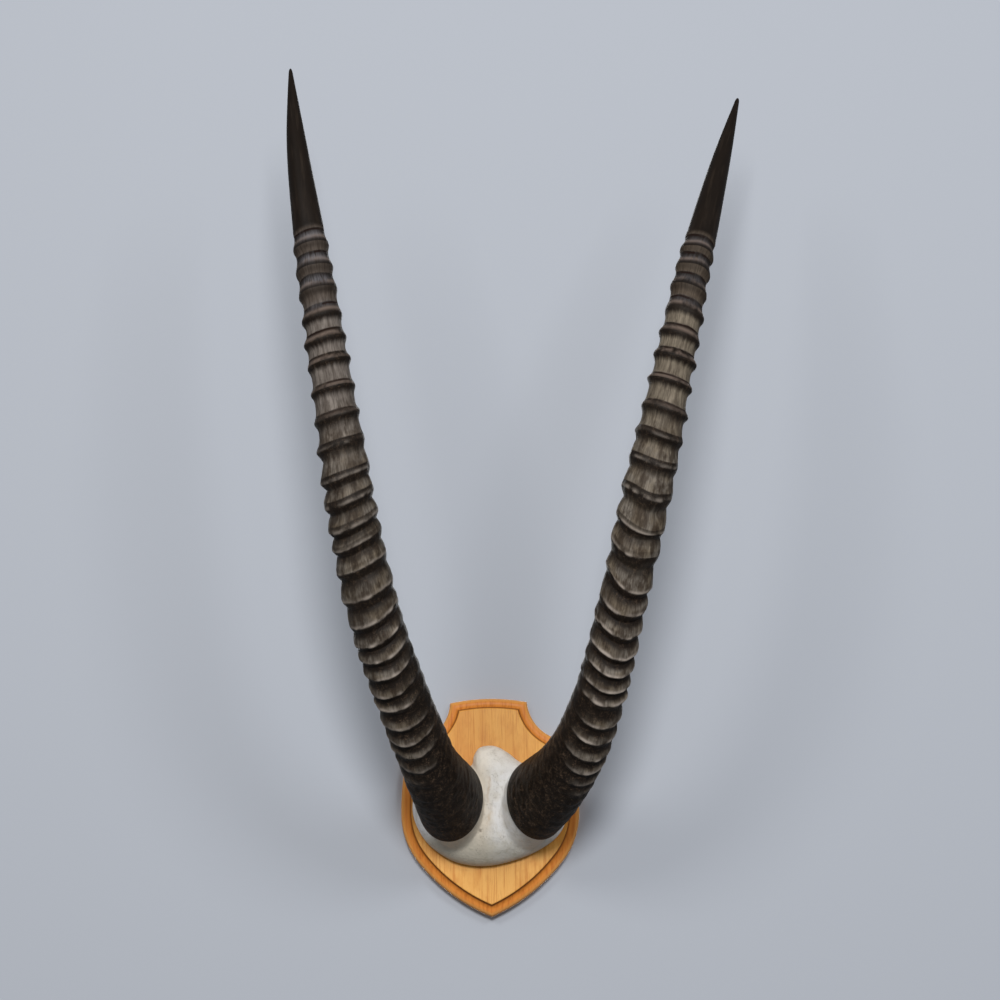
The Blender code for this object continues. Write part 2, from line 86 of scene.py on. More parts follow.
# Each horn's centre line at every tenth of its length: outwards, out from the wall, height, and half
# its width and depth there
LEFT_ROUTE = (
    (0.0334, 0.0520, 0.0023, 0.0289, 0.0379), (0.0491, 0.1160, 0.0273, 0.0234, 0.0295),
    (0.0669, 0.1682, 0.0716, 0.0218, 0.0263), (0.0859, 0.2076, 0.1271, 0.0212, 0.0243),
    (0.1012, 0.2347, 0.1907, 0.0202, 0.0224), (0.1119, 0.2501, 0.2591, 0.0189, 0.0205),
    (0.1215, 0.2554, 0.3291, 0.0171, 0.0182), (0.1316, 0.2525, 0.3992, 0.0151, 0.0157),
    (0.1416, 0.2425, 0.4686, 0.0121, 0.0126), (0.1503, 0.2265, 0.5371, 0.0080, 0.0083),
    (0.1559, 0.2062, 0.6033, 0.0014, 0.0014))
RIGHT_ROUTE = (
    (0.0392, 0.0520, 0.0012, 0.0276, 0.0361), (0.0664, 0.1132, 0.0248, 0.0239, 0.0302),
    (0.0886, 0.1645, 0.0687, 0.0210, 0.0253), (0.1053, 0.2028, 0.1263, 0.0193, 0.0222),
    (0.1213, 0.2291, 0.1906, 0.0193, 0.0214), (0.1379, 0.2443, 0.2582, 0.0192, 0.0209),
    (0.1539, 0.2473, 0.3276, 0.0168, 0.0179), (0.1693, 0.2372, 0.3963, 0.0146, 0.0151),
    (0.1863, 0.2152, 0.4622, 0.0118, 0.0122), (0.2037, 0.1860, 0.5250, 0.0077, 0.0080),
    (0.2209, 0.1572, 0.5852, 0.0016, 0.0016))
# Each ring's lip, in millimetres from the skull along the horn's front
LEFT_RINGS = (63, 82, 95, 110, 123, 138, 156, 168, 185, 200, 214, 229, 250, 273, 293, 307, 325, 344, 369,
              392, 415, 437, 455, 475, 497, 516, 536)
RIGHT_RINGS = (74, 84, 96, 109, 125, 140, 159, 170, 185, 200, 217, 235, 253, 281, 302, 326, 352, 375, 397,
               420, 441, 460, 481, 501, 520, 537)
LIP_HEIGHT = 0.0016
GROOVE_DEPTH = 0.0014
RINGS_FADE_IN = (0.045, 0.120)
RING_FRONT = math.radians(45)
RINGS_EVEN_OUT = (0.150, 0.300)
RINGS_INNER_SHARE = (0.3, 0.85)
RING_TILT = math.tan(math.radians(6))
TILT_FADE_IN = 0.060
TIP_TUCK = 0.0015

# How much steeper the rings are at mid-length, as a tangent; how far they hang down in front at some
# distances from the skull; and where a ring bends out of line: its distance from the skull, direction
# round the horn, rise and reach
LEFT_SLANT = 0.12
RIGHT_SLANT = 0.02
SAG_PLACES = (0.04, 0.10, 0.18, 0.24, 0.33, 0.40)
LEFT_SAGS = (0.0, 0.0040, 0.0040, 0.0015, 0.0, 0.0)
RIGHT_SAGS = (0.0, 0.0035, 0.0050, 0.0065, 0.0050, 0.0)
LEFT_KINKS = ((0.300, math.radians(60), -0.0022, 0.006), (0.232, math.radians(150), 0.0030, 0.008))
RIGHT_KINKS = ((0.250, math.radians(180), 0.0080, 0.011), (0.306, math.radians(60), -0.0020, 0.007))

# Rings of the horns: the gap between those below the first lip and where the lowest of them may be; how
# many more rows crowd together under a lip, at what phase and over what width; the phase of the notch
# between two lips; and the length over which the tip closes
FIRST_GAP = 0.012
LOWEST_RING = 0.004
CROWDING = 2.2
CROWDED_PHASE = 0.93
CROWDED_WIDTH = 0.08
NOTCH_PHASE = 0.66
TIP_REACH = 0.0045

# The bone: the two powers of its dome, how wide each neck is at some depths below the horn's base, how
# far a neck stays off the board, and how far round a seat the bone is flattened
DOME_SHARE_POWER = 3
DOME_POWER = 0.55
NECK_DEPTHS = (GAP - 0.0008, 0.003, 0.010, 0.018, 0.026, PEDICLE_LENGTH)
NECK_REACHES = (1.02, 1.02, 1.0, 1.0, 1.02, 1.04)
NECK_OFF_BOARD = 0.002
SEAT_REACH = 0.045

# The stage: half its width, its depth in front of the wall and behind it, and where its sheets are
ROOM_REACH = 3
ROOM_DEPTH = 4
FLOOR_HEIGHT = -0.9
WALL_OFFSET = 0.0005

# Fineness of the surfaces
HORN_SIDES = 96
ROWS_PER_RING = 26
TIP_ROW_STEP = 0.0009
CURVE_SAMPLES = 400
DIRECTION_STEP = 0.002
DOME_ROWS = 24
OUTLINE_STEPS = {"top": 24, "notch": 30, "shoulder": 30, "hip": 24, "flank": 36}
PROFILE_STEPS = 9
BONE_VOXEL = 0.0009
BONE_SPOKES = 180
NECK_SIDES = 72
CUTTER_SIDES = 48


def camera_at(aim, distance, elevation, roll, lens):
    """The photograph's camera: below the horns' middle, looking up at them."""
    tilt = math.radians(elevation)
    back = Vector((0.0, -math.cos(tilt), math.sin(tilt)))
    data = bpy.data.cameras.new("camera")
    data.lens = lens
    data.sensor_width = 36.0
    camera = bpy.data.objects.new("camera", data)
    bpy.context.collection.objects.link(camera)
    facing = (-back).to_track_quat("-Z", "Y").to_matrix().to_4x4()
    camera.matrix_world = (Matrix.Translation(Vector(aim) + back * distance) @ facing
                           @ Matrix.Rotation(math.radians(roll), 4, "Z"))
    bpy.context.scene.camera = camera


def place_object(name, mesh):
    """Put a finished mesh into the scene, with its faces turned outwards."""
    shape = bmesh.new()
    shape.from_mesh(mesh)
    bmesh.ops.recalc_face_normals(shape, faces=shape.faces)
    shape.to_mesh(mesh)
    shape.free()
    thing = bpy.data.objects.new(name, mesh)
    bpy.context.collection.objects.link(thing)
    return thing


def add_piece(name, mesh, material, nodes):
    """A piece of the mount: it rides on the body and stands for its solids."""
    piece = place_object(name, mesh)
    mesh.materials.clear()
    mesh.materials.append(material)
    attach(piece, "root")
    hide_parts(*nodes)
    return piece


def lofted_mesh(name, rings, first=None, last=None):
    """A closed surface through rings of points: quads between each ring and the next, and at either
    end a fan to the given point, or one flat face where there is none."""
    rows, sides = rings.shape[:2]
    index = np.arange(rows * sides).reshape(rows, sides)
    beside = np.roll(index, -1, axis=1)
    faces = np.stack((index[:-1], beside[:-1], beside[1:], index[1:]), axis=-1).reshape(-1, 4).tolist()
    points = [rings.reshape(-1, 3)]
    count = rows * sides
    for end, row, other in ((first, index[0], beside[0]), (last, index[-1], beside[-1])):
        if end is None:
            faces.append(row.tolist())
            continue
        faces += np.stack((np.full(sides, count), row, other), axis=-1).tolist()
        points.append(np.reshape(end, (1, 3)))
        count += 1
    mesh = bpy.data.meshes.new(name)
    mesh.from_pydata(np.concatenate(points).tolist(), [], faces)
    return mesh


def set_vectors(mesh, name, values):
    """Keep three numbers at each vertex for the material to read."""
    mesh.attributes.new(name, "FLOAT_VECTOR", "POINT").data.foreach_set("vector", np.ravel(values))


def smooth_step(value, low, high):
    """0 below low, 1 above high, and an even S curve between them."""
    share = np.clip((value - low) / (high - low), 0, 1)
    return share * share * (3 - 2 * share)


def patches(seed, turn, along, columns, spacing):
    """Smooth noise from -1 to 1 over a round surface: random heights on a grid that closes on itself
    round the turn, with its rows a spacing apart, eased from one to the next by an S curve."""
    heights = np.random.default_rng(seed).uniform(-1, 1, (int(np.max(along) / spacing) + 4, columns))
    across = turn / (2 * math.pi) % 1 * columns
    upward = along / spacing + 1
    column, row = np.floor(across).astype(int), np.floor(upward).astype(int)
    u, v = smooth_step(across - column, 0, 1), smooth_step(upward - row, 0, 1)
    column, beside = column % columns, (column + 1) % columns
    lower = heights[row, column] * (1 - u) + heights[row, beside] * u
    upper = heights[row + 1, column] * (1 - u) + heights[row + 1, beside] * u
    return lower * (1 - v) + upper * v


def natural_spline(values, at):
    """Natural cubic curve through evenly spaced rows of values, read at shares 0 to 1 of its length."""
    values = np.asarray(values, float)
    count = len(values)
    matrix = np.eye(count)
    bend = np.zeros_like(values)
    inner = np.arange(1, count - 1)
    matrix[inner, inner - 1] = 1
    matrix[inner, inner] = 4
    matrix[inner, inner + 1] = 1
    bend[1:-1] = 6 * (values[:-2] - 2 * values[1:-1] + values[2:])
    bend = np.linalg.solve(matrix, bend)
    place = np.clip(np.asarray(at, float), 0, 1) * (count - 1)
    cell = np.minimum(place.astype(int), count - 2)
    u = (place - cell)[:, None]
    w = 1 - u
    curve = values[cell] * w + values[cell + 1] * u
    return curve + ((w ** 3 - w) * bend[cell] + (u ** 3 - u) * bend[cell + 1]) / 6


def horn_length(route):
    """Length of the horn's centre line."""
    points = natural_spline(route, np.linspace(0, 1, CURVE_SAMPLES))[:, :3]
    return float(np.linalg.norm(np.diff(points, axis=0), axis=1).sum())


def horn_frames(route, side, at):
    """Centres, directions and half sizes at shares of the horn's length: along the horn, outwards
    across it, and towards its front, which is the outside of its bend."""
    def centres(shares):
        outwards, out, height = natural_spline(route, shares)[:, :3].T
        return np.stack([side * outwards, -out, height], axis=1)

    along = centres(np.clip(at + DIRECTION_STEP, 0, 1)) - centres(np.clip(at - DIRECTION_STEP, 0, 1))
    along /= np.linalg.norm(along, axis=1)[:, None]
    to_right = np.array([1.0, 0.0, 0.0]) - along[:, :1] * along
    to_right /= np.linalg.norm(to_right, axis=1)[:, None]
    front = np.cross(to_right, along)
    half = natural_spline(route, at)[:, 3:]
    return centres(at), along, side * to_right, front, half[:, :1], half[:, 1:]


def horn_rows(lips, length):
    """Rows along the horn as distance, phase from one lip to the next, and the gap between those lips.
    Rows crowd together just under each lip, where the surface drops into its groove."""
    last_gap = lips[-1] - lips[-2]
    below = lips[0] - FIRST_GAP * np.arange(int(lips[0] / FIRST_GAP), 0, -1)
    marks = np.concatenate(([0.0], below[below > LOWEST_RING], lips, [lips[-1] + last_gap]))
    fine = np.linspace(0, 1, CURVE_SAMPLES)
    crowding = 1 + CROWDING * np.exp(-((fine - CROWDED_PHASE) / CROWDED_WIDTH) ** 2)
    total = np.concatenate(([0.0], np.cumsum(crowding[1:])))
    phases = np.interp(np.arange(ROWS_PER_RING) / ROWS_PER_RING, total / total[-1], fine)
    gaps = np.diff(marks)
    distance = (marks[:-1, None] + gaps[:, None] * phases).ravel()
    phase = np.tile(phases, len(gaps))
    gap = np.repeat(gaps, ROWS_PER_RING)
    end = length + TIP_TUCK
    tip = np.linspace(marks[-1], end, int((end - marks[-1]) / TIP_ROW_STEP))[:-1]
    return (np.concatenate((distance, tip)), np.concatenate((phase, (tip - marks[-1]) / last_gap % 1)),
            np.concatenate((gap, np.full(len(tip), last_gap))))


def ring_profile(distance, phase, gap):
    """Height of a ring from -1 to 1 along the horn, at a phase of 0 at its lip and 1 at the next. Low on
    the horn it is a leaning wave: a half cosine down over 0.66 of the gap and a half cosine back up. In
    the middle it is a bead: one less twice a power of the way to a notch, on either side of the lip.
    Higher up it is a narrow swelling: one bell curve above its crest and one below."""
    above, below = phase * gap, (1 - phase) * gap
    falling = phase < NOTCH_PHASE
    down, up = phase / NOTCH_PHASE, (1 - phase) / (1 - NOTCH_PHASE)
    wave = np.where(falling, np.cos(math.pi * down), np.cos(math.pi * up))
    bead = np.where(falling, 1 - 2 * down ** 2.0, 1 - 2 * up ** 1.4)
    upper_width = np.interp(distance, (0.36, 0.43, 0.53), (0.0050, 0.0040, 0.0068))
    swelling = np.exp(-(above / upper_width) ** 2) + np.exp(-(below / 0.0042) ** 2)
    swelling = -0.85 + 1.85 * np.clip(swelling, 0, 1)
    low_height = wave + (bead - wave) * smooth_step(distance, 0.15, 0.23)
    return low_height + (swelling - low_height) * smooth_step(distance, 0.33, 0.40)


def horn_mesh(name, side, route, rings, seed, slant, sags, kinks):
    """A horn's surface. Each row is an oval about the centre line, half width times cosine outwards and
    half depth times sine forwards, sheared along the horn so that its rings sit lower on the outside,
    steeper by the slant at mid-length, and hang down in front by the sag times one less the squared
    sine. Each kink is a bell along the horn times a squared half cosine round it. Added to both half
    sizes: the ring profile, weaker on the inner side near the skull; lumps on the lips; long flutes;
    slow swellings; and wrinkles across the base. The tip closes as a half ellipse."""
    length = horn_length(route)
    lips = np.array(rings) / 1000
    distance, phase, gap = (values[:, None] for values in horn_rows(lips, length))
    turn = np.arange(HORN_SIDES)[None, :] * 2 * math.pi / HORN_SIDES
    centre, along, across, front, half_width, half_depth = horn_frames(route, side, distance[:, 0] / length)
    centre = centre + along * np.maximum(distance - length, 0)
    height = ring_profile(distance, phase, gap)
    last = lips[-1]
    fade = smooth_step(distance, *RINGS_FADE_IN) * 0.85 + 0.15 * smooth_step(distance, 0.004, 0.03)
    fade *= 1 - smooth_step(distance, last + 0.006, last + 0.020)
    inner = np.interp(distance, RINGS_EVEN_OUT, RINGS_INNER_SHARE)
    weight = (inner + (1 - inner) * (0.5 + 0.5 * np.cos(turn - RING_FRONT))) ** 2
    weight = weight * (1 + 0.34 * patches(seed, turn, distance, 6, 0.021))
    swing = np.interp(distance, (0.10, 0.24, 0.42, 0.52), (1.0, 1.25, 1.15, 0.95))
    relief = (LIP_HEIGHT + GROOVE_DEPTH) / 2 * swing * height * fade * weight
    low = 1 - smooth_step(distance, 0.34, 0.44)
    crest = smooth_step(height, -0.2, 1.0)
    lumps = patches(seed + 1, turn, distance, 24, 0.0055)
    lumps = (lumps + 0.4 * patches(seed + 7, turn, distance, 50, 0.0030)) / 1.4
    lumps = lumps * (0.30 + 0.70 * crest) * fade
    relief = relief + lumps * (0.00014 + 0.00050 * low)
    calm = 1 - smooth_step(distance, last - 0.02, last + 0.05)
    relief = relief + 0.00016 * patches(seed + 2, turn, distance, 54, 0.022) * fade
    relief = relief + (0.00010 + 0.00040 * calm) * patches(seed + 3, turn, distance, 7, 0.032)
    wrinkled = (1 - smooth_step(distance, 0.070, 0.160)) * smooth_step(distance, 0.001, 0.012)
    relief = relief + wrinkled * (0.00014 * patches(seed + 4, turn, distance, 17, 0.0030)
                                  + 0.00044 * patches(seed + 5, turn, distance, 44, 0.0042))
    base_round = 1 - 0.02 * np.clip(1 - distance / 0.002, 0, 1) ** 2
    tip_share = np.clip((distance - (length + TIP_TUCK - TIP_REACH)) / TIP_REACH, 0, 1)
    size = base_round * np.sqrt(1 - tip_share ** 2)
    relief = relief * smooth_step(distance, 0, 0.006) * (1 - smooth_step(distance, length - 0.03, length))
    sideways = (half_width + relief) * size * np.cos(turn)
    forwards = (half_depth + relief) * size * np.sin(turn)
    steeper = smooth_step(distance, 0.14, 0.22) * (1 - smooth_step(distance, 0.34, 0.42))
    shear = -(RING_TILT + slant * steeper) * sideways * np.clip(distance / TILT_FADE_IN, 0, 1)
    shear = shear + (0.0009 + 0.0013 * steeper) * patches(seed + 6, turn, distance, 6, 0.024) * fade
    shear = shear + np.interp(distance, SAG_PLACES, sags) * (1 - np.clip(np.sin(turn), 0, None) ** 2)
    for start, place, rise, reach in kinks:
        nearby = np.exp(-((distance - start) / reach) ** 2)
        shear = shear + rise * nearby * (0.5 + 0.5 * np.cos(turn - place)) ** 2
    points = (centre[:, None] + across[:, None] * sideways[..., None] + front[:, None] * forwards[..., None]
              + along[:, None] * shear[..., None])
    tip = centre[-1] + along[-1] * (length + TIP_TUCK - distance[-1])
    mesh = lofted_mesh(name, points, centre[0], tip)
    full = np.ones_like(shear)

    def with_ends(values, base, end):
        return np.concatenate((values.reshape(-1, 3), [base], [end]))

    place = np.stack((0.02 * np.cos(turn) * full, 0.02 * np.sin(turn) * full, distance * full), axis=-1)
    cycle = 2 * math.pi * phase
    ring = np.stack((np.cos(cycle) * full, np.sin(cycle) * full, gap * full), axis=-1)
    shape = np.stack((fade * weight, height * fade * weight, lumps), axis=-1)
    set_vectors(mesh, "place", with_ends(place, (0, 0, 0), (0, 0, length)))
    set_vectors(mesh, "ring", with_ends(ring, (1, 0, 0.012), (1, 0, 0.02)))
    set_vectors(mesh, "shape", with_ends(shape, (0, 0, 0), (0, 0, 0)))
    mesh.shade_smooth()
    return mesh


def arc(centre, radius, start, end, steps):
    """Points of a circular arc, without its last one."""
    angles = np.linspace(start, end, steps + 1)[:-1]
    return np.stack((centre[0] + radius * np.cos(angles), centre[1] + radius * np.sin(angles)), axis=1)


def circles_meet(centre_a, radius_a, centre_b, radius_b, pick):
    """The point, of the two where circles cross, that is highest under pick."""
    a, b = Vector(centre_a), Vector(centre_b)
    between = b - a
    reach = (radius_a ** 2 - radius_b ** 2 + between.length_squared) / (2 * between.length)
    off = math.sqrt(radius_a ** 2 - reach ** 2)
    direction = between.normalized()
    normal = Vector((-direction.y, direction.x))
    return max((a + direction * reach + normal * s * off for s in (-1, 1)), key=pick)


def angle_from(centre, point):
    """Direction from a centre to a point."""
    return math.atan2(point[1] - centre[1], point[0] - centre[0])


def board_outline(inset):
    """The shield's outline moved inwards by inset: each arc keeps its centre and the corners are where
    neighbouring arcs meet."""
    top_centre = (0.0, TOP_HEIGHT - TOP_BOW_RADIUS)
    shoulder_centre = (HALF_WIDTH - SHOULDER_RADIUS, WIDEST_HEIGHT)
    hip_centre = (HALF_WIDTH - HIP_RADIUS, WIDEST_HEIGHT)
    reach = HIP_RADIUS - FLANK_RADIUS
    flank_centre = (hip_centre[0] + reach * math.cos(HIP_TURN), hip_centre[1] - reach * math.sin(HIP_TURN))
    top_radius = TOP_BOW_RADIUS - inset
    notch_radius = NOTCH_RADIUS + inset
    shoulder_radius = SHOULDER_RADIUS - inset
    flank_radius = FLANK_RADIUS - inset
    top_corner = circles_meet(top_centre, top_radius, NOTCH_CENTRE, notch_radius, lambda p: p.y)
    side_corner = circles_meet(shoulder_centre, shoulder_radius, NOTCH_CENTRE, notch_radius, lambda p: -p.y)
    tip = (0.0, flank_centre[1] - math.sqrt(flank_radius ** 2 - flank_centre[0] ** 2))
    whole = 2 * math.pi
    half = np.concatenate((
        arc(top_centre, top_radius, math.pi / 2, angle_from(top_centre, top_corner), OUTLINE_STEPS["top"]),
        arc(NOTCH_CENTRE, notch_radius, angle_from(NOTCH_CENTRE, top_corner) % whole,
            angle_from(NOTCH_CENTRE, side_corner) % whole, OUTLINE_STEPS["notch"]),
        arc(shoulder_centre, shoulder_radius, angle_from(shoulder_centre, side_corner), 0,
            OUTLINE_STEPS["shoulder"]),
        arc(hip_centre, HIP_RADIUS - inset, 0, -HIP_TURN, OUTLINE_STEPS["hip"]),
        arc(flank_centre, flank_radius, -HIP_TURN, angle_from(flank_centre, tip), OUTLINE_STEPS["flank"])))
    left = half[:0:-1] * (-1, 1)
    return np.concatenate((half, [tip], left))


def cutter(name, shape):
    """A mesh that cuts a piece and is removed afterwards."""
    mesh = bpy.data.meshes.new(name)
    shape.to_mesh(mesh)
    shape.free()
    return place_object(name, mesh)


def turned_cutter(name, profile, place):
    """A round cutter along Y through rings of a radius at a distance from the wall."""
    turn = np.arange(CUTTER_SIDES) * 2 * math.pi / CUTTER_SIDES
    radius, out = np.array(profile)[:, :, None].transpose(1, 0, 2)
    rings = np.stack((place[0] + radius * np.cos(turn), -out + 0 * turn, place[1] + radius * np.sin(turn)),
                     axis=-1)
    return place_object(name, lofted_mesh(name, rings))


def carved(mesh, cutters):
    """The mesh with every cutter taken out of it."""
    thing = place_object("uncut", mesh)
    for tool in cutters:
        step = thing.modifiers.new("cut", "BOOLEAN")
        step.operation = "DIFFERENCE"
        step.solver = "EXACT"
        step.object = tool
    return baked(thing, cutters)


def baked(thing, helpers=()):
    """The finished mesh of an object with modifiers, whose object and helpers are then removed."""
    bpy.context.view_layer.update()
    ready = thing.evaluated_get(bpy.context.evaluated_depsgraph_get())
    mesh = bpy.data.meshes.new_from_object(ready)
    for used in (thing, *helpers):
        bpy.data.objects.remove(used, do_unlink=True)
    return mesh


def board_mesh():
    """The shield's surface: the outline at each inset of its edge profile, which is a quarter circle
    turned outwards, then one of the same radius turned inwards, then a small step to the face. The
    recess, the countersunk screw bores and the nail bores are cut from the back."""
    turn = np.linspace(0, math.pi / 2, PROFILE_STEPS + 1)[1:]
    bead = np.stack((BEAD_RADIUS * (1 - np.cos(turn)), RIM_HEIGHT + BEAD_RADIUS * np.sin(turn)), axis=1)
    cove = np.stack((BEAD_RADIUS * (1 + np.sin(turn)), RIM_HEIGHT + BEAD_RADIUS * (2 - np.cos(turn))), axis=1)
    soft = 0.0004
    edge = [(BAND_WIDTH + 0.3 * STEP_INSET, BOARD - soft), (BAND_WIDTH + STEP_INSET + soft, BOARD)]
    rim = [(BACK_EASE, 0.0), (0.3 * BACK_EASE, 0.3 * BACK_EASE), (0.0, BACK_EASE), (0.0, RIM_HEIGHT)]
    profile = np.concatenate((rim, bead, cove[:-1], edge))
    rings = np.stack([np.insert(board_outline(inset), 1, -out, axis=1) for inset, out in profile])
    mesh = lofted_mesh("shield_board", rings)
    set_vectors(mesh, "edge", np.repeat(np.insert(profile, 2, 0, axis=1), rings.shape[1], axis=0))
    recess = bmesh.new()
    size = (HANGER_LENGTH + 2 * RECESS_MARGIN, 2 * RECESS_DEPTH, HANGER_WIDTH + 2 * RECESS_MARGIN)
    bmesh.ops.create_cube(recess, size=1, matrix=Matrix.Translation((0, 0, HANGER_HEIGHT))
                          @ Matrix.Diagonal((*size, 1)))
    cutters = [cutter("recess", recess)]
    shank, head = SCREW_SHANK + GAP, SCREW_HEAD + GAP
    bore = ((head, -OVERRUN), (head, SCREW_SUNK), (shank, SCREW_SUNK + SCREW_HEAD_DEPTH + GAP),
            (shank, BOARD + OVERRUN))
    for height in SCREW_HEIGHTS:
        cutters.append(turned_cutter("bore", bore, (0, height)))
    start = RECESS_DEPTH - BORE_SPARE
    nail = ((NAIL_SHANK + GAP, start), (NAIL_SHANK + GAP, start + NAIL_LENGTH))
    for side in (-1, 1):
        cutters.append(turned_cutter("nail", nail, (side * NAIL_ACROSS, HANGER_HEIGHT)))
    mesh = carved(mesh, cutters)
    mesh.shade_smooth()
    mesh.set_sharp_from_angle(angle=math.radians(32))
    return mesh


def closed_curve(points, count):
    """Even-stepped points of a closed Catmull-Rom curve through the given ones."""
    knots = np.asarray(points, float)
    place = np.linspace(0, len(knots), count, endpoint=False)
    cell = place.astype(int)
    u = (place - cell)[:, None]
    before, start, end, after = (knots[(cell + step) % len(knots)] for step in (-1, 0, 1, 2))
    return 0.5 * (2 * start + (end - before) * u + (2 * before - 5 * start + 4 * end - after) * u ** 2
                  + (3 * start - before - 3 * end + after) * u ** 3)


def bone_mesh():
    """The skull piece: a dome whose height over the board falls from crown to rim as the power 0.55 of
    one minus the cubed share of the way out, and a flared neck up to each horn, melted together on a
    fine grid of cubes and relaxed. The seats under the horns and the back stay flat. One pit, a shallow
    seam down the middle and slow swellings are added along the surface's own direction."""
    outline = closed_curve(SKULL_OUTLINE, BONE_SPOKES)
    middle = np.array(SKULL_CENTRE)
    back = BOARD + GAP
    shares = np.cos(np.linspace(0, math.pi / 2, DOME_ROWS))[:-1]
    rise = SKULL_RIM + (SKULL_CROWN - SKULL_RIM) * (1 - shares ** DOME_SHARE_POWER) ** DOME_POWER
    rings = [np.insert(outline, 1, -back, axis=1)]
    rings += [np.insert(middle + share * (outline - middle), 1, -(back + out), axis=1)
              for share, out in zip(shares, rise)]
    top = (middle[0], -(back + SKULL_CROWN), middle[1])
    bone = place_object("bone_lump", lofted_mesh("bone_lump", np.stack(rings), last=top))
    seats = []
    turn = np.arange(NECK_SIDES) * 2 * math.pi / NECK_SIDES
    for side, route in ((-1, LEFT_ROUTE), (1, RIGHT_ROUTE)):
        centre, along, across, front, half_width, half_depth = horn_frames(route, side, np.zeros(1))
        depth = np.array(NECK_DEPTHS)[:, None, None]
        reach = PEDICLE_SHARE * np.array(NECK_REACHES)[:, None, None]
        neck = (centre - along * depth + across * (reach * half_width * np.cos(turn)[None, :, None])
                + front * (reach * half_depth * np.sin(turn)[None, :, None]))
        neck[..., 1] = np.minimum(neck[..., 1], -(back + NECK_OFF_BOARD))
        stub = place_object("neck", lofted_mesh("neck", neck))
        join = bone.modifiers.new("join", "BOOLEAN")
        join.operation = "UNION"
        join.solver = "EXACT"
        join.object = stub
        seats.append((stub, centre[0], along[0]))
    melt = bone.modifiers.new("melt", "REMESH")
    melt.mode = "VOXEL"
    melt.voxel_size = BONE_VOXEL
    relax = bone.modifiers.new("relax", "SMOOTH")
    relax.factor = 0.5
    relax.iterations = 30
    mesh = baked(bone, [stub for stub, _, _ in seats])
    mesh.name = "skull_bone"
    points = np.zeros(len(mesh.vertices) * 3)
    normals = np.zeros_like(points)
    mesh.vertices.foreach_get("co", points)
    mesh.vertices.foreach_get("normal", normals)
    points, normals = points.reshape(-1, 3), normals.reshape(-1, 3)
    x, z = points[:, 0], points[:, 2]
    seam = 0.0010 + 0.0011 * np.sin(z * 260) + 0.0004 * np.sin(z * 1100 + 1)
    line = np.exp(-((x + seam) / 0.0007) ** 2)
    line = line * smooth_step(z, -0.024, -0.010) * (1 - smooth_step(z, 0.020, 0.034))
    pit = np.exp(-((x + 0.0085) ** 2 + (z + 0.0235) ** 2) / 0.0011 ** 2)
    turn = np.arctan2(z, x)
    out = np.hypot(x, z)
    swell = 0.0005 * patches(5, turn, out, 9, 0.013) + 0.00022 * patches(6, turn, out, 22, 0.005)
    off_board = smooth_step(-points[:, 1] - back, 0.001, 0.004)
    points = points + normals * ((swell - 0.0005 * line - 0.0012 * pit) * off_board)[:, None]
    for _, centre, along in seats:
        over = (points - centre) @ along + GAP
        near = np.linalg.norm(points - centre, axis=1) < SEAT_REACH
        points = points - along * (np.clip(over, 0, None) * near)[:, None]
    points[:, 1] = np.minimum(points[:, 1], -back)
    mesh.vertices.foreach_set("co", points.ravel())
    mesh.update()
    shank = SCREW_SHANK + GAP
    pilot = ((shank, BOARD - OVERRUN), (shank, SCREW_SUNK + SCREW_LENGTH + BORE_SPARE))
    mesh = carved(mesh, [turned_cutter("pilot", pilot, (0, height)) for height in SCREW_HEIGHTS])
    mesh.shade_smooth()
    return mesh


class Value:
    """A number, colour or vector between a material's nodes, so that its maths reads as plain sums."""

    def __init__(self, paint, socket):
        self.paint = paint
        self.socket = socket

    def __add__(self, other):
        return self.paint.maths("ADD", self, other)

    def __sub__(self, other):
        return self.paint.maths("SUBTRACT", self, other)

    def __mul__(self, other):
        return self.paint.maths("MULTIPLY", self, other)

    def __truediv__(self, other):
        return self.paint.maths("DIVIDE", self, other)

    def __radd__(self, other):
        return self.paint.maths("ADD", other, self)

    def __rsub__(self, other):
        return self.paint.maths("SUBTRACT", other, self)

    def __rmul__(self, other):
        return self.paint.maths("MULTIPLY", other, self)

    def __rtruediv__(self, other):
        return self.paint.maths("DIVIDE", other, self)


